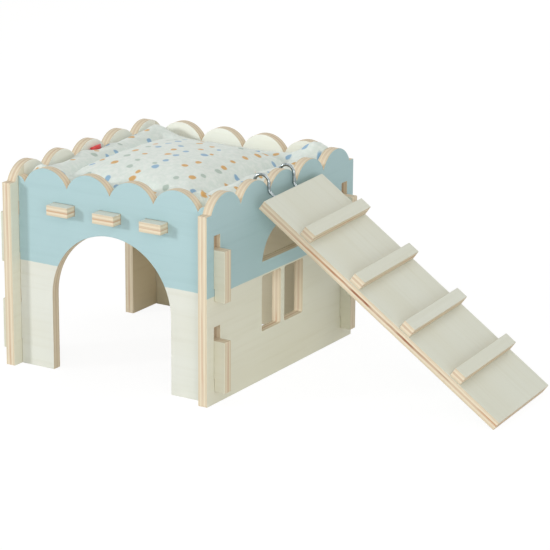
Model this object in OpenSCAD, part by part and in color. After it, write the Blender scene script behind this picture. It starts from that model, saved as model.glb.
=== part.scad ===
// Flat-pack plywood hideout for small pets: four slotted walls with scalloped tops, a pegged
// upper floor, a padded cushion and a ladder ramp that hangs on two wire hooks.
// The doorway at the front faces -Y, the ramp stands at +X, and the floor is at z = 0.

/* [Walls] */
// Thickness of every plywood piece
ply = 9; // [7:0.5:11]
// Clear width between the side walls
inside_w = 192; // [176:1:230]
// Length of a side wall from front to back
side_l = 238; // [222:1:280]
// Distance from a side wall's end to the outer face of the front or back wall
end_inset = 11; // [8:0.5:15]
// Height of the walls at the valleys between scallops
wall_h = 164.4; // [158:0.2:190]

/* [Scallops] */
// Height of a scallop above the valleys
scallop_rise = 15; // [11:0.5:17]
// Flat stretch between the last scallop and the end of a wall
shoulder_w = 7; // [5:0.5:9]
// Height of the part scallop at the ends of the front and back walls
end_rise = 5; // [3:0.5:6]
// Number of scallops on the front and back walls
end_scallops = 4; // [3:1:5]
// Number of scallops on a side wall
side_scallops = 5; // [4:1:6]

/* [Doorways] */
// Width of an arched doorway
door_w = 123; // [90:1:126]
// Height of a doorway at its crown
door_h = 129; // [110:1:131]

/* [Window] */
// Width of the arch-topped window in the right wall
window_w = 67; // [50:1:72]
// Height of the window's sill
window_sill = 43.8; // [30:0.2:60]
// Height of the window's crown
window_top = 135; // [128:1:142]
// Height of the underside of the bar across the window
window_bar_z = 93; // [85:1:96]
// Height of the bar across the window
window_bar_h = 12.8; // [8:0.2:14]
// Width of the upright bar between the two lower panes
window_mullion = 6; // [4:0.5:10]
// Radius that the cutter leaves in the corners of the lower panes
cutter_r = 2; // [0.5:0.5:3]

/* [Hook tabs] */
// How far a tab stands out of the side wall
tab_out = 10.8; // [8:0.2:14]
// Height of a tab outside the side wall
tab_h = 44.8; // [36:0.2:46]
// How far a tab's hook reaches below its slot
tab_drop = 11; // [8:0.5:13]
// Height of the lower tab's underside
low_tab_z = 11; // [8:0.5:18]
// Distance from the wall's valleys down to the upper slot's top
top_slot_depth = 18.4; // [15:0.2:20]
// Room above a tab once it is raised to unhook
lift_room = 0.6; // [0.4:0.1:1]

/* [Upper floor] */
// Depth of the tray that the walls make above the upper floor
tray_depth = 13.6; // [11:0.2:16]
// Width of a peg
peg_w = 22; // [16:0.5:28]
// Distance between the middles of two pegs
peg_pitch = 47.8; // [36:0.2:54]
// How far a peg stands out of the front or back wall
peg_out = 10.4; // [6:0.2:13]

/* [Cushion] */
// Width of the padded border
border_w = 27; // [20:1:34]
// Height of the cushion's edge seam
seam_h = 12; // [9:0.5:13]
// Height of the sewn channel between the border and the middle
channel_h = 14.5; // [13:0.5:16]
// Height of the border
border_h = 19.5; // [18:0.5:22]
// Extra height of the border at its corners
corner_puff = 8; // [3:0.5:9]
// Height of the middle at its crown
crown_h = 31; // [24:0.5:34]
// How far each side is drawn in between the corners
draw_in = 4.6; // [4.4:0.2:7]
// Gap between the cushion's corners and the walls
cushion_gap = 0.6; // [0.4:0.1:2]
// Length of the ribbon tag along the cushion's edge
tag_l = 13; // [8:0.5:18]
// Height of the ribbon tag, a quarter of it sewn into the seam
tag_h = 11; // [8:0.5:13]
// Thickness of the folded ribbon
tag_t = 1.2; // [0.8:0.1:2]

/* [Ramp] */
// Length of the ramp board
ramp_l = 269; // [250:1:330]
// Width of the ramp board
ramp_w = 107; // [90:1:120]
// How far the ramp stands turned towards the back, in degrees
ramp_turn = 4; // [0:0.5:5]
// Gap between the ramp's nearest top corner and the wall
ramp_gap = 0.5; // [0.3:0.1:1.5]
// Width of a cleat
cleat_w = 11.5; // [8:0.5:16]
// Distance from the ramp's top end to the first cleat
cleat_start = 41.2; // [30:0.2:50]
// Distance from one cleat to the next
cleat_pitch = 57.2; // [50:0.2:60]
// How far a cleat's ends stand in from the ramp's edges
cleat_inset = 0.4; // [0:0.2:5]

/* [Wire hooks] */
// Diameter of the hook wire
wire_d = 2.8; // [2:0.1:3.2]
// Play between the hook wire and each face of the wall
hook_play = 1; // [0.6:0.1:1.2]
// Distance of the front hook from the valley behind it, along the flank of its scallop
front_aside = 5.5; // [4:0.5:12]
// Distance of the rear hook from the valley behind it, along the flank of its scallop
rear_aside = 10; // [4:0.5:12]
// Height of the middle of a hook's bend above the ramp's top end
hook_drop = 12; // [11:0.5:16]
// Radius of the elbow below a hook's bend
elbow_r = 5; // [3.5:0.5:6]
// Length of a hook's tip inside the wall
tip_l = 1; // [0.5:0.5:1.5]
// Depth of a hook's screw in the ramp's end
screw_l = 14; // [8:1:25]
// Depth to which the screw is cut into the wire
screw_cut = 0.1; // [0.05:0.05:0.3]
// Distance from the ramp's front edge to the front hook
hook_edge = 25.5; // [10:0.5:28]

/* [Fits] */
// Clearance on each side of a slotted fit between boards
fit = 0.2; // [0.1:0.05:0.35]
// Clearance round a screw in its hole
screw_fit = 0.05; // [0.03:0.01:0.1]
// Gap between the cushion and the upper floor
seat_gap = 0.2; // [0.1:0.1:0.5]

/* [Hidden] */
$fn = 96;

sky_blue = [0.70, 0.82, 0.84];
whitewash = [0.88, 0.89, 0.84];
fleece_white = [0.93, 0.94, 0.92];
ribbon_red = [0.80, 0.16, 0.18];
bright_zinc = [0.75, 0.77, 0.78];

// Length by which a cut runs past the board's edge
cut_past = 1;

inner_x = inside_w / 2;
outer_x = inner_x + ply;
wall_y = side_l / 2 - end_inset;
inner_y = wall_y - ply;
end_pitch = (inside_w - 2 * shoulder_w) / end_scallops;
side_pitch = (side_l - 2 * shoulder_w) / side_scallops;
floor_top = wall_h - tray_depth;

// Radius of a circular scallop of the stated pitch
function scallop_r(pitch) = (scallop_rise * scallop_rise + pitch * pitch / 4) / (2 * scallop_rise);

// Slots of the side walls, as the heights of their undersides
slot_h = tab_h + lift_room;
slot_zs = [low_tab_z + tab_drop, wall_h - top_slot_depth - slot_h];

// Hooks straddle the wall at the rear flanks of two neighbouring scallops
hook_asides = [front_aside, rear_aside];
valley_y = (floor(side_scallops / 2) - side_scallops / 2) * side_pitch;
hook_ys = [valley_y - front_aside, valley_y + side_pitch - rear_aside];
hook_span = hook_ys[1] - hook_ys[0];
wire_r = wire_d / 2;
screw_r = wire_r - screw_cut;
bend_r = ply / 2 + hook_play + wire_r;

// Height and slope of a flank, and how far below that height a bend that rests on it has its middle
side_r = scallop_r(side_pitch);
function flank_sin(aside) = (side_pitch / 2 - aside) / side_r;
function flank_cos(aside) = sqrt(1 - pow(flank_sin(aside), 2));
function flank_z(aside) = wall_h + scallop_rise - side_r * (1 - flank_cos(aside));
function perch(aside) =
    let (r = bend_r - (wire_r + fit) / flank_cos(aside))
    sqrt(max(0, r * r - ply * ply / 4));

// The hook on the higher flank carries the ramp, and both bends are level
hinge_x = inner_x + ply / 2;
hinge_y = (hook_ys[0] + hook_ys[1]) / 2;
hinge_z = max([for (a = hook_asides) flank_z(a) - perch(a)]);

// The ramp leans between the floor and the height that the hooks give its top end
end_z = hinge_z - hook_drop;
ramp_tilt = asin(end_z / sqrt(ramp_l * ramp_l + ply * ply / 4)) - atan(ply / 2 / ramp_l);
hook_v = hook_edge + hook_span / 2 * cos(ramp_turn);
near_v = (ramp_w - hook_v) * sin(ramp_turn);
end_s = (ply / 2 + ramp_gap + near_v) / cos(ramp_turn) + ply / 2 * sin(ramp_tilt);
foot_s = end_s + ramp_l * cos(ramp_tilt) + ply / 2 * sin(ramp_tilt);

// The whole part is centred on the origin, from the left tabs to the ramp's foot
foot_x = hinge_x + foot_s * cos(ramp_turn) + hook_v * sin(ramp_turn);
house_x = (outer_x + tab_out - foot_x) / 2;

// Outline of a wall with a row of scallops between two flat shoulders
module scalloped_wall(length, shoulder, count, pitch) {
    r = scallop_r(pitch);
    centre_z = wall_h + scallop_rise - r;
    translate([-length / 2, 0])
        square([length, centre_z]);
    for (side = [-1, 1])
        translate([side > 0 ? length / 2 - shoulder - pitch / 4 : -length / 2, 0])
            square([shoulder + pitch / 4, wall_h]);
    for (i = [0:count - 1])
        translate([(i - (count - 1) / 2) * pitch, centre_z])
            circle(r);
}

// Outline of a doorway with a round arch, open at the floor
module arched_doorway() {
    spring_z = door_h - door_w / 2;
    translate([-door_w / 2, -cut_past])
        square([door_w, spring_z + cut_past]);
    translate([0, spring_z])
        circle(door_w / 2);
}

// Outline of a lower pane, from its lower left corner
module pane(w, h) {
    translate([0, cutter_r])
        square([w, h - 2 * cutter_r]);
    translate([cutter_r, 0])
        square([w - 2 * cutter_r, h]);
    for (x = [cutter_r, w - cutter_r], z = [cutter_r, h - cutter_r])
        translate([x, z])
            circle(cutter_r);
}

// Outline of the window: an arch cut into a lunette and two panes by its bars
module barred_window() {
    spring_z = window_top - window_w / 2;
    lunette_z = window_bar_z + window_bar_h;
    pane_w = (window_w - window_mullion) / 2;
    for (side = [-1, 1])
        translate([side > 0 ? window_mullion / 2 : -window_w / 2, window_sill])
            pane(pane_w, window_bar_z - window_sill);
    intersection() {
        translate([0, spring_z])
            circle(window_w / 2);
        translate([-window_w / 2, lunette_z])
            square([window_w, window_w]);
    }
}

// Slots near both ends of a side wall, for the hook tabs of the front and back walls
module tab_slots() {
    for (side = [-1, 1], z = slot_zs)
        translate([side * (wall_y - ply / 2) - ply / 2 - fit, z])
            square([ply + 2 * fit, slot_h]);
}

// Hook tabs at one end of a front or back wall: a neck in the slot and a hook outside it
module hook_tabs() {
    root_x = inner_x - shoulder_w;
    for (z = slot_zs) {
        translate([root_x, z + fit])
            square([outer_x + tab_out - root_x, tab_h - tab_drop - fit]);
        translate([outer_x + fit, z - tab_drop])
            square([tab_out - fit, tab_h]);
    }
}

// Outline shared by the front and back walls
module end_wall_outline() {
    length = inside_w - 2 * fit;
    difference() {
        union() {
            scalloped_wall(length, shoulder_w - fit, end_scallops, end_pitch);
            intersection() {
                translate([-length / 2, 0])
                    square([length, wall_h + end_rise]);
                for (side = [-1, 1])
                    translate([side * length / 2, wall_h + end_rise - shoulder_w])
                        circle(shoulder_w);
            }
            for (side = [0, 1])
                mirror([side, 0])
                    hook_tabs();
        }
        for (i = [-1:1])
            translate([i * peg_pitch - peg_w / 2 - fit, floor_top - ply - fit])
                square([peg_w + 2 * fit, ply + 2 * fit]);
    }
}

// A flat outline cut from the board, standing along X with its outer face at the stated y
module board_along_x(face_y) {
    translate([house_x, face_y, 0])
        rotate([90, 0, 0])
            linear_extrude(ply)
                children();
}

// A flat outline cut from the board, standing along Y with its inner face at the stated x
module board_along_y(face_x) {
    translate([house_x + face_x, 0, 0])
        rotate([90, 0, 90])
            linear_extrude(ply)
                children();
}

module front_wall() {
    color(sky_blue)
        board_along_x(-inner_y)
            difference() {
                end_wall_outline();
                arched_doorway();
            }
}

module back_wall() {
    color(sky_blue)
        board_along_x(wall_y)
            end_wall_outline();
}

module left_wall() {
    color(sky_blue)
        board_along_y(-outer_x)
            difference() {
                scalloped_wall(side_l, shoulder_w, side_scallops, side_pitch);
                tab_slots();
                arched_doorway();
            }
}

module right_wall() {
    color(sky_blue)
        board_along_y(inner_x)
            difference() {
                scalloped_wall(side_l, shoulder_w, side_scallops, side_pitch);
                tab_slots();
                barred_window();
            }
}

// The upper floor's pegs pass through the end walls and hold them at their distance
module upper_floor() {
    floor_x = inner_x - fit;
    floor_y = inner_y - fit;
    color(whitewash)
        translate([house_x, 0, floor_top - ply])
            linear_extrude(ply) {
                square([2 * floor_x, 2 * floor_y], center = true);
                for (i = [-1:1])
                    translate([i * peg_pitch, 0])
                        square([peg_w, 2 * (wall_y + peg_out)], center = true);
            }
}

// Cushion: a lattice of points over the tray, closer together across the border than in the middle
cushion_x = inner_x - cushion_gap;
cushion_y = inner_y - cushion_gap;
border_steps = [0, 0.1, 0.25, 0.45, 0.65, 0.85, 1, 1.15, 1.4];
middle_cells = 7;

// Its underside is tucked in below the seam, in two steps of [share of the tuck, share of the seam's height]
tuck = 6;
tuck_steps = [[0.25, 0.35], [1, 0]];

// Powers that set the border's crest towards the edge, fill the middle's corners and round its flanks
border_lean = 0.8;
middle_fill = 4;
middle_round = 0.5;

function lattice(half) =
    let (inner = half - border_w * border_steps[len(border_steps) - 1])
    concat(
        [for (s = border_steps) -half + s * border_w],
        [for (i = [1:middle_cells - 1]) inner * (2 * i / middle_cells - 1)],
        [for (i = [len(border_steps) - 1:-1:0]) half - border_steps[i] * border_w]);

// Height of the cushion above the upper floor, by distance in from its edges
function border_z(d) =
    let (base = seam_h + (channel_h - seam_h) * d / border_w, swell = border_h - (seam_h + channel_h) / 2)
    base + swell * sin(180 * pow(d / border_w, border_lean));
function corner_swell(dx, dy) =
    let (r = border_w / 2)
    corner_puff * exp(-(pow(dx - r, 2) + pow(dy - r, 2)) / (r * r)) * sin(180 * min(1, min(dx, dy) / border_w));
function middle_z(x, y) =
    let (p = min(1, abs(x) / (cushion_x - border_w)), q = min(1, abs(y) / (cushion_y - border_w)))
    let (full = (1 - pow(p, middle_fill)) * (1 - pow(q, middle_fill)))
    channel_h + (crown_h - channel_h) * pow(full, middle_round);
function cushion_z(x, y) =
    let (dx = cushion_x - abs(x), dy = cushion_y - abs(y), d = max(0, min(dx, dy)))
    d < border_w ? border_z(d) + corner_swell(dx, dy) : middle_z(x, y);

// Sides drawn in between the corners
function drawn(x, y) = [
    x - draw_in * x / cushion_x * (1 - pow(y / cushion_y, 2)),
    y - draw_in * y / cushion_y * (1 - pow(x / cushion_x, 2))];

module cushion() {
    xs = lattice(cushion_x);
    ys = lattice(cushion_y);
    n = len(xs);
    top = [for (x = xs, y = ys) concat(drawn(x, y), cushion_z(x, y))];
    loop = concat(
        [for (k = [0:n - 2]) k * n],
        [for (k = [0:n - 2]) (n - 1) * n + k],
        [for (k = [n - 1:-1:1]) k * n + n - 1],
        [for (k = [n - 1:-1:1]) k]);
    m = len(loop);
    rings = [for (s = tuck_steps, k = loop) [
        top[k][0] * (1 - tuck * s[0] / cushion_x),
        top[k][1] * (1 - tuck * s[0] / cushion_y),
        seam_h * s[1]]];
    ring1 = n * n;
    ring2 = ring1 + m;
    middle = ring2 + m;
    faces = concat(
        [for (i = [0:n - 2], j = [0:n - 2]) let (a = i * n + j) each [
            [a, a + 1, a + n + 1], [a, a + n + 1, a + n]]],
        [for (k = [0:m - 1]) let (q = (k + 1) % m) each [
            [loop[k], loop[q], ring1 + q], [loop[k], ring1 + q, ring1 + k],
            [ring1 + k, ring1 + q, ring2 + q], [ring1 + k, ring2 + q, ring2 + k],
            [middle, ring2 + k, ring2 + q]]]);
    color(fleece_white)
        translate([house_x, 0, floor_top + seat_gap])
            polyhedron(concat(top, rings, [[0, 0, 0]]), faces);
}

// A folded ribbon that stands out of the cushion's left seam, rounded at its upper corners
module cushion_tag() {
    tag_x = cushion_x - draw_in - tag_t;
    round_r = tag_h / 4;
    color(ribbon_red)
        translate([house_x - tag_x, 0, floor_top + seat_gap + seam_h - tag_h / 4])
            rotate([90, 0, 90])
                linear_extrude(tag_t) {
                    translate([-tag_l / 2, 0])
                        square([tag_l, tag_h - round_r]);
                    translate([round_r - tag_l / 2, 0])
                        square([tag_l - 2 * round_r, tag_h]);
                    for (side = [-1, 1])
                        translate([side * (tag_l / 2 - round_r), tag_h - round_r])
                            circle(round_r);
                }
}

// Frame of the hinge line: X runs down the ramp in plan, Y across it, from between the two hooks
module at_hinge() {
    translate([house_x + hinge_x, hinge_y, hinge_z])
        rotate([0, 0, ramp_turn])
            children();
}

// Frame of the board: X runs down the slope from the middle of its top end, Y from its front edge
module on_ramp() {
    at_hinge()
        translate([end_s, -hook_v, -hook_drop])
            rotate([0, ramp_tilt, 0])
                children();
}

// Place of a hook's bend in the hinge frame: both bends are centred over the wall
function hook_place(i) = let (dy = hook_ys[i] - hinge_y) [dy * sin(ramp_turn), dy * cos(ramp_turn), 0];

module ramp_board() {
    color(whitewash)
        on_ramp()
            difference() {
                translate([0, 0, -ply / 2])
                    cube([ramp_l, ramp_w, ply]);
                for (i = [0, 1])
                    translate([-cut_past, hook_v + hook_place(i)[1], 0])
                        rotate([0, 90, 0])
                            cylinder(h = cut_past + screw_l + screw_fit, r = screw_r + screw_fit);
            }
}

module cleat(i) {
    color(whitewash)
        on_ramp()
            translate([cleat_start + i * cleat_pitch, cleat_inset, ply / 2])
                cube([cleat_w, ramp_w - 2 * cleat_inset, ply]);
}

// A screw hook: bend over the wall, short tip inside, leg outside, elbow, and a screw in line with the ramp
module wire_hook(i) {
    reach = end_s - hook_place(i)[0];
    shank = (reach - bend_r - elbow_r * (1 - sin(ramp_tilt))) / cos(ramp_tilt);
    leg = hook_drop - elbow_r * cos(ramp_tilt) - shank * sin(ramp_tilt);
    color(bright_zinc)
        at_hinge()
            translate(hook_place(i)) {
                rotate([90, 0, 0])
                    rotate_extrude(angle = 180)
                        translate([bend_r, 0])
                            circle(wire_r);
                translate([-bend_r, 0, -tip_l])
                    cylinder(h = tip_l, r = wire_r);
                translate([-bend_r, 0, -tip_l])
                    sphere(wire_r);
                translate([bend_r, 0, -leg])
                    cylinder(h = leg, r = wire_r);
                translate([bend_r + elbow_r, 0, -leg])
                    rotate([90, 0, 0])
                        rotate([0, 0, 180])
                            rotate_extrude(angle = 90 - ramp_tilt)
                                translate([elbow_r, 0])
                                    circle(wire_r);
                translate([bend_r + elbow_r * (1 - sin(ramp_tilt)), 0, -leg - elbow_r * cos(ramp_tilt)])
                    rotate([0, 90 + ramp_tilt, 0])
                        translate([0, 0, -screw_cut])
                            cylinder(h = screw_cut + shank + screw_l, r = screw_r);
            }
}

front_wall();
back_wall();
left_wall();
right_wall();
upper_floor();
cushion();
cushion_tag();
ramp_board();
cleat(0);  // cleat_1
cleat(1);  // cleat_2
cleat(2);  // cleat_3
cleat(3);  // cleat_4
wire_hook(0);  // hook_front
wire_hook(1);  // hook_rear
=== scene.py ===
import math

import bmesh
import bpy
from mathutils import Matrix, Vector, noise


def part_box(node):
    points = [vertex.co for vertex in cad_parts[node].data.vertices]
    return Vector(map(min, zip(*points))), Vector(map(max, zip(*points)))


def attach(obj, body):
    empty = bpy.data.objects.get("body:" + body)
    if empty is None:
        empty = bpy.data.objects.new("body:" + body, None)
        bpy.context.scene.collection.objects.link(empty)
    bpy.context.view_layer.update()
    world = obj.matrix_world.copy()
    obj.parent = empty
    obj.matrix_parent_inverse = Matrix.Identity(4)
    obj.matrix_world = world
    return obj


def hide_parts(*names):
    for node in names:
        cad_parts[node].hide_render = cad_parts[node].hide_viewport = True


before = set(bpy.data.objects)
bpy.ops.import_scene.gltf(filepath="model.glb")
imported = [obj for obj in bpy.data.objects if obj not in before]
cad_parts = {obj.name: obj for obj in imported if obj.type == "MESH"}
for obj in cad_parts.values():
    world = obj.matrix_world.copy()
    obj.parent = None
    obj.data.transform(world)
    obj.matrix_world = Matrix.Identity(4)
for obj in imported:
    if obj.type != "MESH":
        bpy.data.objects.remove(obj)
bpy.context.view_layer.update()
scene = bpy.context.scene

# Walls: four boards of five-ply plywood with scalloped tops, hooked into each other by tabs in slots.
# Their faces are brushed with whitewash, and a coat of pastel blue covers the outside above a masked
# line. The cut edges stay bare, so the plies and their glue lines show.
left_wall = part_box("left_wall")
right_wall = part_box("right_wall")
front_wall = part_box("front_wall")
back_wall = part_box("back_wall")
upper_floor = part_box("upper_floor")
along_x, along_y, upward = Vector((1, 0, 0)), Vector((0, 1, 0)), Vector((0, 0, 1))
ply_t = right_wall[1].x - right_wall[0].x
masked_line_z = 0.0945
masked_line_blur = 0.0002
masked_line_waver = 0.0008
arris_r = 0.00045
weld_gap = 0.00002
flat_angle = math.radians(0.5)
sharp_angle = math.radians(30)
wall_heart = 0.4
# The tray's wash is near white: painted light that makes up for the shade on the faces inside the tray.
end_wash, side_wash_painted_warm, tray_wash_painted_light = (224, 226, 218), (230, 229, 213), (249, 250, 241)
# The tabs' wash is warmer than the end walls': painted warm light on tabs that stand in shade.
thin_wash, bare_wood, tab_wash_painted_warm = (231, 224, 202), (234, 221, 195), (223, 221, 203)


def srgb(red, green, blue):
    """A colour as a paint chart gives it, 0 to 255, for a shader."""
    parts = [c / 255 for c in (red, green, blue)]
    return tuple(((c + 0.055) / 1.055) ** 2.4 for c in parts) + (1.0,)


class Finish:
    """A surface finish being mixed. An input that is given a socket is linked to it, and one that is given
    a value is set to it."""

    def __init__(self, name):
        self.material = bpy.data.materials.new(name)
        self.material.use_nodes = True
        self.tree = self.material.node_tree
        self.surface = self.tree.nodes["Principled BSDF"]
        self.place = self.add("TexCoord", out="Object")

    def give(self, socket, value):
        if isinstance(value, bpy.types.NodeSocket):
            self.tree.links.new(value, socket)
        else:
            socket.default_value = value

    def add(self, kind, inputs=None, out=0, **settings):
        node = self.tree.nodes.new("ShaderNode" + kind)
        for name, value in settings.items():
            setattr(node, name, value)
        for key, value in (inputs or {}).items():
            self.give(node.inputs[key], value)
        return node.outputs[out]

    def sum(self, operation, *terms):
        return self.add("Math", dict(enumerate(terms)), operation=operation)

    def measure(self, direction):
        return self.add("VectorMath", {0: self.place, 1: direction}, out="Value", operation="DOT_PRODUCT")

    def within(self, direction, low, high):
        """1 between two distances along direction, and 0 beyond them."""
        value = self.measure(direction)
        above_low = self.sum("GREATER_THAN", value, low)
        return self.sum("MULTIPLY", above_low, self.sum("LESS_THAN", value, high))

    def stretch(self, *measures):
        """Coordinates made of (measure, how many times finer) pairs."""
        parts = [self.sum("MULTIPLY", value, times) for value, times in measures]
        return self.add("CombineXYZ", dict(enumerate(parts)))

    def cloud(self, place, scale, detail=2.0):
        return self.add("TexNoise", {"Vector": place, "Scale": scale, "Detail": detail})

    def wander(self, scale, span, about=0.0, detail=2.0):
        """A value that drifts from place to place by about half the span to either side."""
        return self.sum("MULTIPLY_ADD", self.cloud(self.place, scale, detail), span, about - span / 2)

    def between(self, value, low, high):
        """0 below low, 1 above high, and smooth from one to the other."""
        return self.add("MapRange", {0: value, 1: low, 2: high}, interpolation_type="SMOOTHSTEP")

    def mix(self, share, first, second):
        return self.add("Mix", {0: share, 6: first, 7: second}, out=2, data_type="RGBA")

    def stripes(self, value, stops):
        """The colours of (place, colour) stops in rising order, with an even change from one to the next."""
        node = self.tree.nodes.new("ShaderNodeValToRGB")
        self.give(node.inputs[0], value)
        marks = node.color_ramp.elements
        while len(marks) < len(stops):
            marks.new(1.0)
        for mark, (at, colour) in zip(marks, stops):
            mark.position = at
            mark.color = colour
        return node.outputs[0]

    def relief(self, height, depth, strength):
        normal = self.add("Bump", {"Height": height, "Distance": depth, "Strength": strength})
        self.give(self.surface.inputs["Normal"], normal)


def ply_stops(heart):
    """Colours through a board from face to face: tan face plies, two pale plies laid across and a middle
    ply, which is darker the more heartwood it has, with thin glue lines between them."""
    tan = srgb(218, 204, 179)
    pale = srgb(229, 217, 194)
    middle = srgb(226 - 18 * heart, 214 - 28 * heart, 190 - 30 * heart)
    glue = srgb(207, 183, 154)
    half_line = 0.013
    plies = (tan, pale, middle, pale, tan)
    glue_lines = (0.18, 0.40, 0.60, 0.82)
    stops = [(0.0, tan)]
    for before, after, at in zip(plies, plies[1:], glue_lines):
        stops += [(at - half_line, before), (at, glue), (at + half_line, after)]
    return stops + [(1.0, tan)]


def cut_edge(finish, run, rise, depth, level, heart, streak):
    """A board's bare edge: the plies, their fibres, red heartwood and knots in the middle ply, and there a
    dark streak too, if it has one. Returns the colour and the fibres."""
    fibre_tan, heart_red = srgb(216, 192, 160), srgb(200, 150, 110)
    knot_brown, streak_brown = srgb(136, 86, 60), srgb(150, 88, 54)
    ply_waver = 0.09
    fibre_share = 0.6
    knot_from, knot_to = 0.74 - 0.12 * heart, 0.80 - 0.12 * heart
    fade_in, fade_out = 0.03, 0.07

    bands = finish.stripes(finish.sum("ADD", level, finish.wander(38.0, ply_waver)), ply_stops(heart))
    fibres = finish.cloud(finish.stretch((run, 34.0), (rise, 34.0), (depth, 2100.0)), 1.0, 3.0)
    fibre_part = finish.sum("MULTIPLY", finish.between(fibres, 0.5, 0.8), fibre_share)
    edge = finish.mix(fibre_part, bands, fibre_tan)
    middle_ply = finish.sum("SUBTRACT", finish.between(level, 0.36, 0.43), finish.between(level, 0.57, 0.64))
    hearts = finish.cloud(finish.stretch((run, 15.0), (rise, 15.0), (depth, 560.0)), 1.0)
    heart_part = finish.sum("MULTIPLY", finish.between(hearts, 0.53, 0.64), middle_ply)
    edge = finish.mix(finish.sum("MULTIPLY", heart_part, heart), edge, heart_red)
    knots = finish.cloud(finish.stretch((run, 20.0), (rise, 20.0), (depth, 900.0)), 1.0)
    knot_part = finish.sum("MULTIPLY", finish.between(knots, knot_from, knot_to), middle_ply)
    edge = finish.mix(finish.sum("MULTIPLY", knot_part, heart), edge, knot_brown)
    if streak:
        start, end = streak
        faded_in = finish.between(run, start, start + fade_in)
        along = finish.sum("SUBTRACT", faded_in, finish.between(run, end - fade_out, end))
        burl = finish.cloud(finish.stretch((run, 45.0), (rise, 6.0), (depth, 260.0)), 1.0)
        streak_part = finish.sum("MULTIPLY", along, middle_ply)
        streak_part = finish.sum("MULTIPLY", finish.between(burl, 0.32, 0.66), streak_part)
        edge = finish.mix(streak_part, edge, streak_brown)
    return edge, fibres


def ply_finish(name, across, face, grain, wash, heart, coat=None, inner=None, tabs=None, streak=None):
    """Plywood washed in that colour, whose first face lies at that distance along across. heart is how much
    of the red heartwood shows in the cut edge. coat(finish) gives the painted share of the first face. inner
    is the colour of the second face inside the cabin, above which it has the tray's wash, made lighter as
    painted light for the shade in the tray. tabs is the colour of the tabs outside the side walls, a warmer
    wash that is painted warm light. streak says from where to where along the grain a dark streak runs in
    the middle ply."""
    paint_blue, paint_cloud, paint_line = srgb(174, 203, 208), srgb(170, 199, 203), srgb(160, 190, 195)
    cloud_less, line_less = (5, 7, 12), (14, 17, 24)
    cloud_share, line_share = 0.5, 0.3
    sand_waver = 0.03
    face_rough, edge_rougher = 0.58, 0.2
    grain_depth, grain_strength = 0.00025, 0.35

    finish = Finish(name)
    run = finish.measure(grain)
    rise = finish.measure(across.cross(grain))
    depth = finish.measure(across)
    level = finish.sum("DIVIDE", finish.sum("SUBTRACT", depth, face), ply_t)
    edge, fibres = cut_edge(finish, run, rise, depth, level, heart, streak)

    grain_lines = finish.cloud(finish.stretch((run, 9.0), (rise, 210.0), (depth, 30.0)), 1.0, 4.0)
    growth = finish.cloud(finish.stretch((run, 3.5), (rise, 26.0), (depth, 10.0)), 1.0, 3.0)
    clouds = finish.sum("MULTIPLY", finish.between(growth, 0.35, 0.75), cloud_share)
    lines = finish.sum("MULTIPLY", finish.between(grain_lines, 0.45, 0.80), line_share)

    def grained(chart):
        """A face of that colour with the grain showing through a little darker and warmer."""
        cloudy = [part - less for part, less in zip(chart, cloud_less)]
        lined = [part - less for part, less in zip(chart, line_less)]
        return finish.mix(lines, finish.mix(clouds, srgb(*chart), srgb(*cloudy)), srgb(*lined))

    skin = grained(wash)
    # The tabs outside the side walls take a warmer wash: painted warm light.
    if tabs:
        between_sides = finish.within(along_x, left_wall[1].x, right_wall[0].x)
        skin = finish.mix(between_sides, grained(tabs), skin)
    if coat:
        paint = finish.mix(lines, finish.mix(clouds, paint_blue, paint_cloud), paint_line)
        first_half = finish.sum("LESS_THAN", level, 0.5)
        skin = finish.mix(finish.sum("MULTIPLY", coat(finish), first_half), skin, paint)
    if inner:
        in_width = finish.within(along_x, left_wall[1].x - arris_r, right_wall[0].x + arris_r)
        in_length = finish.within(along_y, front_wall[1].y - arris_r, back_wall[0].y + arris_r)
        second_half = finish.sum("GREATER_THAN", level, 0.5)
        inside = finish.sum("MULTIPLY", finish.sum("MULTIPLY", in_width, in_length), second_half)
        # Above the upper floor the inner faces take the tray's wash, lightened as painted light.
        in_tray = finish.sum("GREATER_THAN", finish.measure(upward), upper_floor[1].z)
        skin = finish.mix(inside, skin, finish.mix(in_tray, grained(inner), grained(tray_wash_painted_light)))

    sanded = finish.wander(160.0, sand_waver, detail=3.0)
    past_first = finish.between(finish.sum("ADD", level, sanded), 0.012, 0.03)
    past_second = finish.between(finish.sum("SUBTRACT", level, sanded), 0.97, 0.988)
    bare = finish.sum("SUBTRACT", past_first, past_second)
    finish.give(finish.surface.inputs["Base Color"], finish.mix(bare, skin, edge))
    rough = finish.sum("MULTIPLY_ADD", bare, edge_rougher, face_rough)
    finish.give(finish.surface.inputs["Roughness"], rough)
    height = finish.add("Mix", {0: bare, 2: grain_lines, 3: fibres}, data_type="FLOAT")
    finish.relief(height, grain_depth, grain_strength)
    finish.surface.inputs["Specular IOR Level"].default_value = 0.35
    return finish.material


def smooth_rounds():
    """Geometry nodes that shade curved cuts smooth and keep the sharper edges."""
    group = bpy.data.node_groups.new("smooth_rounds", "GeometryNodeTree")
    group.interface.new_socket("Board", in_out="INPUT", socket_type="NodeSocketGeometry")
    group.interface.new_socket("Board", in_out="OUTPUT", socket_type="NodeSocketGeometry")
    board_in = group.nodes.new("NodeGroupInput")
    board_out = group.nodes.new("NodeGroupOutput")
    faces = group.nodes.new("GeometryNodeSetShadeSmooth")
    edges = group.nodes.new("GeometryNodeSetShadeSmooth")
    edges.domain = "EDGE"
    edges.inputs["Shade Smooth"].default_value = False
    angle = group.nodes.new("GeometryNodeInputMeshEdgeAngle")
    sharp = group.nodes.new("FunctionNodeCompare")
    sharp.operation = "GREATER_THAN"
    sharp.inputs[1].default_value = sharp_angle
    group.links.new(angle.outputs["Unsigned Angle"], sharp.inputs[0])
    group.links.new(sharp.outputs[0], edges.inputs["Selection"])
    group.links.new(board_in.outputs[0], faces.inputs[0])
    group.links.new(faces.outputs[0], edges.inputs[0])
    group.links.new(edges.outputs[0], board_out.inputs[0])
    return group


rounds = smooth_rounds()


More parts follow.
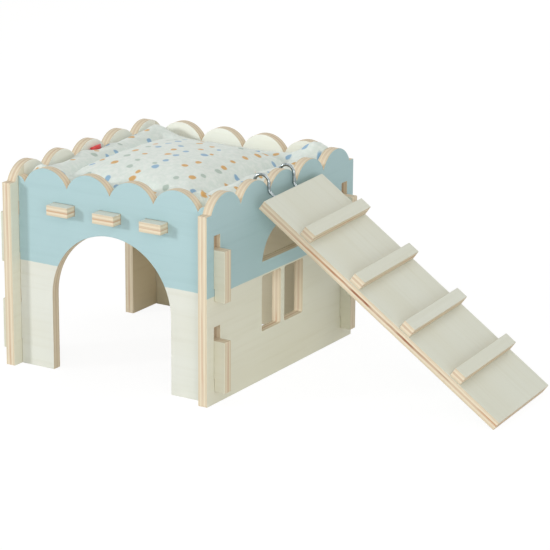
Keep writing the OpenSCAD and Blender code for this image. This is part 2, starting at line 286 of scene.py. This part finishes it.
def dress_board(node, finish):
    """Gives a CAD board its finish and takes the sharpness off its edges."""
    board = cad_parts[node]
    board.data.materials.clear()
    board.data.materials.append(finish)
    weld = board.modifiers.new("weld", "WELD")
    weld.merge_threshold = weld_gap
    flat = board.modifiers.new("flat_faces", "DECIMATE")
    flat.decimate_type = "DISSOLVE"
    flat.angle_limit = flat_angle
    board.modifiers.new("smooth_rounds", "NODES").node_group = rounds
    arris = board.modifiers.new("arris", "BEVEL")
    arris.width = arris_r
    arris.segments = 2
    arris.limit_method = "ANGLE"
    arris.angle_limit = sharp_angle
    arris.use_clamp_overlap = False
    arris.harden_normals = True


def above_line(finish):
    """The coat of paint: above the masked line, whose edge wavers a little."""
    height = finish.sum("ADD", finish.measure(upward), finish.wander(120.0, masked_line_waver))
    return finish.between(height, masked_line_z - masked_line_blur, masked_line_z + masked_line_blur)


def above_line_between_sides(finish):
    """The same coat, but the tabs that pass through the side walls stay white."""
    between_sides = finish.within(along_x, left_wall[1].x, right_wall[0].x)
    return finish.sum("MULTIPLY", above_line(finish), between_sides)


front_ply = ply_finish("front_ply", along_y, front_wall[0].y, along_x, end_wash, wall_heart,
                       coat=above_line_between_sides, inner=bare_wood, tabs=tab_wash_painted_warm)
back_ply = ply_finish("back_ply", -along_y, -back_wall[1].y, along_x, end_wash, wall_heart,
                      coat=above_line_between_sides, inner=thin_wash, tabs=tab_wash_painted_warm)
# The side walls' wash is set a little lighter and yellower than the end walls': painted warm side light.
left_ply = ply_finish("left_ply", along_x, left_wall[0].x, along_y, side_wash_painted_warm, wall_heart,
                      coat=above_line, inner=bare_wood)
right_ply = ply_finish("right_ply", -along_x, -right_wall[1].x, along_y, side_wash_painted_warm, wall_heart,
                       coat=above_line, inner=bare_wood)
dress_board("front_wall", front_ply)
dress_board("back_wall", back_ply)
dress_board("left_wall", left_ply)
dress_board("right_wall", right_ply)

# Upper floor: one plywood board, whitewashed on both faces. Its six pegs pass through the front and
# back walls and show their plies outside.
floor_heart = 0.6
floor_ply = ply_finish("floor_ply", -upward, -upper_floor[1].z, along_x, end_wash, floor_heart)
dress_board("upper_floor", floor_ply)

# Cushion: two sheets of white fleece sewn together round a loose filling. A sewn channel sets a padded
# border off from the domed middle. It lies in the tray that the walls make above the upper floor.
pad_lo, pad_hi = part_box("cushion")
pad_mid = (pad_lo + pad_hi) / 2
pad_half = (pad_hi - pad_lo) / 2
tray_z = upper_floor[1].z
tray_gap = 0.0002
wall_gap = 0.0004
slack = Vector((0.985, 0.985, 1.0))
net_size = 0.004
border_w = 0.027
front_border_w = 0.013
front_reach = 0.085
drawn_in = 0.0046
drawn_in_left = 0.0008
left_reach, left_full = 0.05, 0.02
wall_lift = 0.005
wall_lift_in, wall_lift_w = 0.003, 0.008
swell_from, swell_to = pad_lo.z + 0.008, pad_lo.z + 0.014
lumps = ((0.092, 0.090, 0.017, 0.012, 0.0045),
         (-0.084, 0.078, 0.024, 0.0015, 0.0),
         (-0.092, -0.022, 0.010, 0.0048, 0.0),
         (-0.092, 0.015, 0.009, 0.0034, 0.0),
         (-0.092, 0.048, 0.02, 0.002, 0.0))
base_top = pad_lo.z + 0.003
upper_sheet_z = pad_lo.z + 0.006
seam_h = 0.012
seam_band_w = 0.004
seam_band_top = pad_lo.z + 0.013
channel_w = 0.0035
channel_depth = 0.0016
fill_pressure = 6.0
fill_frames = 20
fill_steps = 6
swell_most = 0.006
fleece_mass = 0.002
fleece_stretch = 1.5
fleece_bend = 0.05
pucker_h = 0.0016
pucker_reach = 0.009
puckers_along, puckers_across, pucker_draw = 95, 12, 3.7
wave_h, waves_per_m = 0.0011, 34
ripple_h, ripples_per_m = 0.0005, 88
crest_h = 0.017
turn_from, turn_to = 0.002, 0.010


def settle(piece):
    """Makes what a piece's modifiers give the piece's own mesh."""
    bpy.context.view_layer.update()
    made = bpy.data.meshes.new_from_object(piece.evaluated_get(bpy.context.evaluated_depsgraph_get()))
    piece.modifiers.clear()
    piece.data = made


def step_up(value, low, high):
    """0 below low, 1 above high, and even between them."""
    return min(1, max(0, (value - low) / (high - low)))


def bowed(place, half):
    """How far a side that is drawn in by 1 at its middle is drawn in at this place along it."""
    return 1 - min(1, abs(place) / half) ** 2


def edge_distances(point, left_bow):
    """How far a point of the cushion lies in from its drawn-in sides, across and along the house."""
    p = point - pad_mid
    bow_x = (left_bow if p.x < 0 else drawn_in) * bowed(p.y, pad_half.y)
    bow_y = drawn_in * bowed(p.x, pad_half.x)
    return pad_half.x - bow_x - abs(p.x), pad_half.y - bow_y - abs(p.y)


def past_channel(point):
    """How far a point of the cushion lies inside the sewn channel, or outside it if negative."""
    across_in, along_in = edge_distances(point, drawn_in_left)
    return min(across_in - border_w, along_in - (front_border_w if point.y < pad_mid.y else border_w))


def crowd_front(inset):
    """Where a point this far in from the front edge comes to lie, as the front border is pushed together."""
    if inset < border_w:
        return inset * front_border_w / border_w
    return inset - (border_w - front_border_w) * (1 - step_up(inset, border_w, front_reach))


cushion = bpy.data.objects.new("fleece_cushion", bpy.data.meshes.new("fleece_cushion"))
scene.collection.objects.link(cushion)
form = bmesh.new()
form.from_mesh(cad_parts["cushion"].data)
bmesh.ops.remove_doubles(form, verts=form.verts, dist=weld_gap)
rest_point = Vector((pad_mid.x, pad_mid.y, pad_lo.z))
bmesh.ops.scale(form, vec=slack, space=Matrix.Translation(-rest_point), verts=form.verts)
form.to_mesh(cushion.data)
form.free()
net = cushion.modifiers.new("net", "REMESH")
net.mode = "VOXEL"
net.voxel_size = net_size
settle(cushion)
for vert in cushion.data.vertices:
    across_in = edge_distances(vert.co, drawn_in)[0]
    above_seam = step_up(vert.co.z, swell_from, swell_to)
    p = vert.co - pad_mid
    if p.x < 0:
        let_out = (drawn_in - drawn_in_left) * bowed(p.y, pad_half.y)
        vert.co.x -= let_out * step_up(-across_in, -left_reach, -left_full)
        vert.co.z += wall_lift * above_seam * math.exp(-((across_in - wall_lift_in) / wall_lift_w) ** 2)
    if p.y < 0:
        inset = pad_half.y - abs(p.y)
        vert.co.y -= inset - crowd_front(inset)
    for lump_x, lump_y, spread, lift, spill in lumps:
        swell = above_seam * math.exp(-((p.x - lump_x) ** 2 + (p.y - lump_y) ** 2) / spread ** 2)
        vert.co.z += lift * swell
        vert.co.x = min(vert.co.x + spill * swell, pad_hi.x - wall_gap)

sewn = cushion.vertex_groups.new(name="sewn")
for vert in cushion.data.vertices:
    on_channel = abs(past_channel(vert.co)) < channel_w and vert.co.z > upper_sheet_z
    on_seam = min(edge_distances(vert.co, drawn_in_left)) < seam_band_w and vert.co.z < seam_band_top
    if on_channel or on_seam or vert.co.z < base_top:
        sewn.add([vert.index], 1.0, "REPLACE")
start = [vert.co.copy() for vert in cushion.data.vertices]
filling = cushion.modifiers.new("filling", "CLOTH")
filling.settings.use_pressure = True
filling.settings.uniform_pressure_force = fill_pressure
filling.settings.effector_weights.gravity = 0.0
filling.settings.vertex_group_mass = "sewn"
filling.settings.mass = fleece_mass
filling.settings.tension_stiffness = fleece_stretch
filling.settings.compression_stiffness = fleece_stretch
filling.settings.shear_stiffness = fleece_stretch / 2
filling.settings.bending_stiffness = fleece_bend
filling.settings.quality = fill_steps
filling.point_cache.frame_start = 1
filling.point_cache.frame_end = fill_frames
for step in range(1, fill_frames + 1):
    scene.frame_set(step)
settle(cushion)
for vert, before in zip(cushion.data.vertices, start):
    move = vert.co - before
    if move.length > swell_most:
        vert.co = before + move.normalized() * swell_most

smoother = cushion.modifiers.new("even_out", "SUBSURF")
smoother.levels = smoother.render_levels = 1
settle(cushion)
for vert in cushion.data.vertices:
    across_in, along_in = edge_distances(vert.co, drawn_in_left)
    past = past_channel(vert.co)
    if vert.co.z > upper_sheet_z:
        run = vert.co.y if across_in < along_in else vert.co.x
        near = math.exp(-(past / channel_w) ** 2)
        gathers = noise.noise(Vector((run * puckers_along, past * puckers_across, pucker_draw)))
        pucker = pucker_h * gathers * math.exp(-abs(past) / pucker_reach)
        soft = wave_h * noise.noise(vert.co * waves_per_m) + ripple_h * noise.noise(vert.co * ripples_per_m)
        vert.co.z += soft + pucker - channel_depth * near
    vert.co.z = max(vert.co.z, tray_z + tray_gap)
for face in cushion.data.polygons:
    face.use_smooth = True
unrolled = cushion.data.attributes.new("unrolled", "FLOAT_VECTOR", "POINT")
for vert, flat in zip(cushion.data.vertices, unrolled.data):
    across_in, along_in = edge_distances(vert.co, drawn_in_left)
    p = vert.co - pad_mid
    drop = max(0, pad_lo.z + crest_h - vert.co.z)
    turn_x = math.copysign(drop, p.x) * (1 - step_up(across_in, turn_from, turn_to))
    turn_y = math.copysign(drop, p.y) * (1 - step_up(along_in, turn_from, turn_to))
    flat.vector = vert.co + Vector((turn_x, turn_y, 0))


def dotted_fleece():
    """White fleece with loosely strewn dots in blue, ochre and grey-green, one to a cell. The print follows
    the cloth over the edge and down the sides, where a sewn seam runs round as a sunken line greyed with
    painted shade."""
    dull_white, white = srgb(227, 237, 232), srgb(237, 244, 240)
    blue, ochre, grey_green = srgb(142, 182, 214), srgb(221, 171, 98), srgb(184, 201, 192)
    seam_shade_grey = srgb(186, 193, 187)
    cells_per_m, disorder = 60.0, 0.75
    blue_below, grey_above = 0.36, 0.70
    least_dot, dot_range = 0.138, 0.07
    dye_strength, seam_shade_strength = 0.95, 0.5
    edge_waver = 0.0022
    seam_waver, seam_sink = 0.0016, 2.5
    tuft_height = 1.5
    nap_depth, nap_strength = 0.0005, 0.35

    finish = Finish("dotted_fleece")
    nap = finish.cloud(finish.place, 900.0, 3.0)
    tufts = finish.cloud(finish.place, 260.0)
    ground = finish.mix(finish.between(tufts, 0.35, 0.7), dull_white, white)
    print_place = finish.add("Attribute", out="Vector", attribute_name="unrolled")
    blur = finish.add("TexNoise", {"Vector": finish.place, "Scale": 170.0, "Detail": 1.0}, out=1)
    push = finish.add("VectorMath", {0: blur, 1: (0.5, 0.5, 0.5)}, operation="SUBTRACT")
    push = finish.add("VectorMath", {0: push, "Scale": edge_waver}, operation="SCALE")
    strewn = finish.add("VectorMath", {0: print_place, 1: push}, operation="ADD")
    lattice = {"Vector": strewn, "Scale": cells_per_m, "Randomness": disorder}
    off_middle = finish.add("TexVoronoi", lattice, voronoi_dimensions="2D")
    draw = finish.add("SeparateColor", {0: off_middle.node.outputs["Color"]})
    size = draw.node.outputs[1]
    radius = finish.sum("MULTIPLY_ADD", size, dot_range, least_dot)
    dot_share = finish.between(finish.sum("SUBTRACT", radius, off_middle), -0.025, 0.05)
    dye = finish.mix(finish.sum("GREATER_THAN", draw, blue_below), blue, ochre)
    dye = finish.mix(finish.sum("GREATER_THAN", draw, grey_above), dye, grey_green)
    printed = finish.mix(finish.sum("MULTIPLY", dot_share, dye_strength), ground, dye)
    seam_z = finish.wander(40.0, seam_waver, about=pad_lo.z + seam_h)
    off_seam = finish.sum("ABSOLUTE", finish.sum("SUBTRACT", finish.measure(upward), seam_z))
    off_seam = finish.between(off_seam, 0.0002, 0.0011)
    # The seam's grey is painted shade in the sunken line.
    seam_shade_share = finish.sum("MULTIPLY_ADD", off_seam, -seam_shade_strength, seam_shade_strength)
    finish.give(finish.surface.inputs["Base Color"], finish.mix(seam_shade_share, printed, seam_shade_grey))
    finish.surface.inputs["Roughness"].default_value = 0.95
    finish.surface.inputs["Specular IOR Level"].default_value = 0.1
    finish.surface.inputs["Sheen Weight"].default_value = 0.25
    finish.surface.inputs["Sheen Roughness"].default_value = 0.6
    height = finish.sum("ADD", nap, finish.sum("MULTIPLY", tufts, tuft_height))
    height = finish.sum("MULTIPLY_ADD", off_seam, seam_sink, height)
    finish.relief(height, nap_depth, nap_strength)
    return finish.material


cushion.data.materials.clear()
cushion.data.materials.append(dotted_fleece())
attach(cushion, "pad")
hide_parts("cushion")

# Tag: a short loop of plain red woven ribbon, caught in the cushion's left seam. It stands up between the
# cushion and the wall, leans out a little and shows along the top of the border.
tag_lo, tag_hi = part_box("cushion_tag")
ribbon_t = 0.0004
tag_fold_r = 0.0005
tag_fold_steps = 6
tag_cuts = 3
tag_tip = math.radians(3)
tag_wall_gap = 0.003
tag_shift = 0.0025
tag_foot_h = 0.0168
tag_half = Vector((0, 0.0073, 0))
leaf_rise = Vector((-0.0012, 0, 0.0052))
tag_mid_y = (tag_lo.y + tag_hi.y) / 2
tag_foot = Vector((left_wall[1].x + tag_wall_gap, tag_mid_y + tag_shift, tray_z + tag_foot_h))
loop = bmesh.new()
ends = [loop.verts.new(tag_foot + tag_half), loop.verts.new(tag_foot - tag_half)]
hem = loop.edges.new(ends)


def edges_of(geometry):
    return [part for part in geometry if isinstance(part, bmesh.types.BMEdge)]


def verts_of(geometry):
    return [part for part in geometry if isinstance(part, bmesh.types.BMVert)]


def draw_out(loose, way):
    """Carries the ribbon's loose edge on by that way and returns the new loose edge."""
    grown = bmesh.ops.extrude_edge_only(loop, edges=edges_of(loose))["geom"]
    bmesh.ops.translate(loop, vec=way, verts=verts_of(grown))
    return verts_of(grown) + edges_of(grown)


outer_leaf = draw_out([hem], leaf_rise)
fold_mid = tag_foot + leaf_rise + Vector((tag_fold_r, 0, 0))
fold = bmesh.ops.spin(loop, geom=outer_leaf, cent=fold_mid, axis=along_y, angle=math.pi,
                      steps=tag_fold_steps)
draw_out(fold["geom_last"], -leaf_rise)
bmesh.ops.rotate(loop, cent=tag_foot, matrix=Matrix.Rotation(tag_tip, 3, "X"), verts=loop.verts)
cross_edges = [e for e in loop.edges if abs(e.verts[0].co.y - e.verts[1].co.y) > tag_half.y]
bmesh.ops.subdivide_edges(loop, edges=cross_edges, cuts=tag_cuts)
bmesh.ops.recalc_face_normals(loop, faces=loop.faces)
bmesh.ops.solidify(loop, geom=loop.faces, thickness=ribbon_t)
tag = bpy.data.objects.new("ribbon_tag", bpy.data.meshes.new("ribbon_tag"))
scene.collection.objects.link(tag)
loop.to_mesh(tag.data)
loop.free()
for face in tag.data.polygons:
    face.use_smooth = True


def woven_ribbon():
    """Plain weave: fine ribs across the ribbon, with painted highlights on their crests. Its reds are set
    lighter as painted light, for the shade the tag stands in.
    """
    red, crest_highlight_red = srgb(244, 68, 72), srgb(250, 92, 95)
    rib_turns, rib_share = 9000.0, 0.35
    weave_depth, weave_strength = 0.0001, 0.5
    finish = Finish("woven_ribbon")
    rib = finish.sum("SINE", finish.sum("MULTIPLY", finish.measure(along_y), rib_turns))
    fleck = finish.cloud(finish.place, 2400.0)
    crest = finish.sum("MULTIPLY_ADD", rib, rib_share, fleck)
    # Painted highlight: the crests are mixed towards the lighter red.
    woven = finish.mix(finish.between(crest, 0.1, 0.9), red, crest_highlight_red)
    finish.give(finish.surface.inputs["Base Color"], woven)
    finish.surface.inputs["Roughness"].default_value = 0.6
    finish.surface.inputs["Sheen Weight"].default_value = 0.15
    finish.relief(crest, weave_depth, weave_strength)
    return finish.material


tag.data.materials.append(woven_ribbon())
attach(tag, "pad")
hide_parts("cushion_tag")

# Ramp: a whitewashed plywood board with four glued plywood cleats to climb by. It leans from the floor to
# the top of the right wall, a little turned. A dark streak runs in the middle ply of the board.
ramp_wash = (220, 223, 211)
ramp_heart = 0.9
streak_from, streak_to = 0.25, 0.82
cleat_count = 4
ramp_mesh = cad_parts["ramp_board"].data
ramp_up = max(ramp_mesh.polygons, key=lambda face: face.area).normal.copy()
if ramp_up.z < 0:
    ramp_up.negate()
ramp_across = upward.cross(ramp_up).normalized()
ramp_down = ramp_across.cross(ramp_up)
ramp_runs = [vert.co.dot(ramp_down) for vert in ramp_mesh.vertices]
ramp_top, ramp_l = min(ramp_runs), max(ramp_runs) - min(ramp_runs)
ramp_streak = (ramp_top + streak_from * ramp_l, ramp_top + streak_to * ramp_l)


def top_face(node):
    """How high a board's upper face lies, measured squarely off the ramp."""
    return max(vert.co.dot(ramp_up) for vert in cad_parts[node].data.vertices)


ramp_ply = ply_finish("ramp_ply", -ramp_up, -top_face("ramp_board"), ramp_down, ramp_wash, ramp_heart,
                      streak=ramp_streak)
cleat_ply = ply_finish("cleat_ply", -ramp_up, -top_face("cleat_1"), ramp_across, ramp_wash, ramp_heart)
dress_board("ramp_board", ramp_ply)
for i in range(1, cleat_count + 1):
    dress_board(f"cleat_{i}", cleat_ply)

# Hooks: two screw hooks of bright zinc-plated wire in the ramp's top end. Their bends sit over the
# scallops of the right wall.


def zinc_wire():
    """Bright plating with faint drawing marks and a slightly cloudy shine. Its colours are darker than the
    metal's: a painted dark reflection.
    """
    # Both zinc colours are darkened as a painted dark reflection.
    dull_zinc_dark_reflection, bright_zinc_dark_reflection = srgb(128, 138, 140), srgb(172, 180, 182)
    least_rough, rough_range = 0.08, 0.14
    mark_depth, mark_strength = 0.00005, 0.3
    finish = Finish("zinc_wire")
    haze = finish.cloud(finish.place, 420.0, 3.0)
    plating_and_dark_reflection = finish.mix(finish.between(haze, 0.3, 0.7), dull_zinc_dark_reflection, bright_zinc_dark_reflection)
    finish.give(finish.surface.inputs["Base Color"], plating_and_dark_reflection)
    finish.surface.inputs["Metallic"].default_value = 1.0
    rough = finish.sum("MULTIPLY_ADD", haze, rough_range, least_rough)
    finish.give(finish.surface.inputs["Roughness"], rough)
    finish.relief(haze, mark_depth, mark_strength)
    return finish.material


zinc = zinc_wire()
for node in ("hook_front", "hook_rear"):
    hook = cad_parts[node]
    hook.data.materials.clear()
    hook.data.materials.append(zinc)
    weld = hook.modifiers.new("weld", "WELD")
    weld.merge_threshold = weld_gap
    hook.modifiers.new("smooth_rounds", "NODES").node_group = rounds

# Studio: a plain white sweep of floor, light from all round, a soft key lamp at the front left, weak fill
# lamps at the front right, behind and above, and the camera at the place the picture was taken from.
floor_half = 9.0
paper_white = (0.9, 0.9, 0.9, 1.0)
paper_glow = 1.07
glow_share = 0.85
air_level = 0.45
air_tint = (1.0, 0.99, 0.955, 1.0)
white_light = (1.0, 1.0, 1.0, 1.0)
cool, warm, mild = (0.97, 0.99, 1.0), (1.0, 0.98, 0.94), (1.0, 0.99, 0.97)
lens_mm = 163.1
film_mm = 36.0
roll = math.radians(0.38)
house_mid_x = (left_wall[0].x + right_wall[1].x) / 2
aim = Vector((house_mid_x + 0.09705, 0.0, 0.08454))
stand = Vector((house_mid_x + 1.1821, -1.7532, 0.7019))
floor_mesh = bmesh.new()
bmesh.ops.create_grid(floor_mesh, x_segments=8, y_segments=8, size=floor_half)
floor = bpy.data.objects.new("studio_floor", bpy.data.meshes.new("studio_floor"))
floor_mesh.to_mesh(floor.data)
floor_mesh.free()
scene.collection.objects.link(floor)


def seen_directly(tree):
    """1 for what the camera sees, straight or in a shiny or clear surface, and 0 for light on the object."""
    path = tree.nodes.new("ShaderNodeLightPath")
    seen = path.outputs["Is Camera Ray"]
    for ray in ("Is Glossy Ray", "Is Transmission Ray"):
        either = tree.nodes.new("ShaderNodeMath")
        either.operation = "MAXIMUM"
        tree.links.new(seen, either.inputs[0])
        tree.links.new(path.outputs[ray], either.inputs[1])
        seen = either.outputs[0]
    return seen


sweep = bpy.data.materials.new("white_sweep")
sweep.use_nodes = True
tree = sweep.node_tree
paper = tree.nodes["Principled BSDF"]
paper.inputs["Base Color"].default_value = paper_white
paper.inputs["Roughness"].default_value = 1.0
paper.inputs["Specular IOR Level"].default_value = 0.0
glow = tree.nodes.new("ShaderNodeEmission")
glow.inputs["Strength"].default_value = paper_glow
blend = tree.nodes.new("ShaderNodeMixShader")
part = tree.nodes.new("ShaderNodeMath")
part.operation = "MULTIPLY"
part.inputs[1].default_value = glow_share
tree.links.new(seen_directly(tree), part.inputs[0])
tree.links.new(part.outputs[0], blend.inputs[0])
tree.links.new(paper.outputs[0], blend.inputs[1])
tree.links.new(glow.outputs[0], blend.inputs[2])
tree.links.new(blend.outputs[0], tree.nodes["Material Output"].inputs["Surface"])
floor.data.materials.append(sweep)

scene.world = bpy.data.worlds.new("studio_air")
scene.world.use_nodes = True
tree = scene.world.node_tree
air = tree.nodes["Background"]
level = tree.nodes.new("ShaderNodeMapRange")
level.inputs["To Min"].default_value = air_level
level.inputs["To Max"].default_value = 1.0
tint = tree.nodes.new("ShaderNodeMix")
tint.data_type = "RGBA"
tint.inputs[6].default_value = air_tint
tint.inputs[7].default_value = white_light
seen = seen_directly(tree)
tree.links.new(seen, level.inputs["Value"])
tree.links.new(seen, tint.inputs[0])
tree.links.new(level.outputs[0], air.inputs["Strength"])
tree.links.new(tint.outputs[2], air.inputs["Color"])


def lamp(name, azimuth, elevation, distance, size, power, colour):
    """A square soft lamp that faces the object from that side."""
    light = bpy.data.lights.new(name, "AREA")
    light.size = size
    light.energy = power
    light.color = colour
    holder = bpy.data.objects.new(name, light)
    scene.collection.objects.link(holder)
    a, e = math.radians(azimuth), math.radians(elevation)
    back = Vector((math.sin(a) * math.cos(e), -math.cos(a) * math.cos(e), math.sin(e)))
    holder.location = aim + back * distance
    holder.rotation_euler = back.to_track_quat("Z", "Y").to_euler()


lamp("key", azimuth=-43.7, elevation=16, distance=4.0, size=0.6, power=58.0, colour=cool)
lamp("side", azimuth=48, elevation=3, distance=2.0, size=0.9, power=9.8, colour=warm)
lamp("front", azimuth=30, elevation=30, distance=2.5, size=1.4, power=9.8, colour=warm)
lamp("back", azimuth=168, elevation=26, distance=2.5, size=1.4, power=14.5, colour=warm)
lamp("top", azimuth=0, elevation=85, distance=2.5, size=1.4, power=5.0, colour=mild)

scene.view_settings.view_transform = "Standard"
view = bpy.data.cameras.new("photograph")
view.lens = lens_mm
view.sensor_width = film_mm
camera = bpy.data.objects.new("photograph", view)
scene.collection.objects.link(camera)
back = (stand - aim).normalized()
level_right = upward.cross(back).normalized()
level_up = back.cross(level_right)
right = level_right * math.cos(roll) + level_up * math.sin(roll)
up = back.cross(right)
camera.matrix_world = Matrix((right, up, back)).transposed().to_4x4()
camera.location = stand
scene.camera = camera
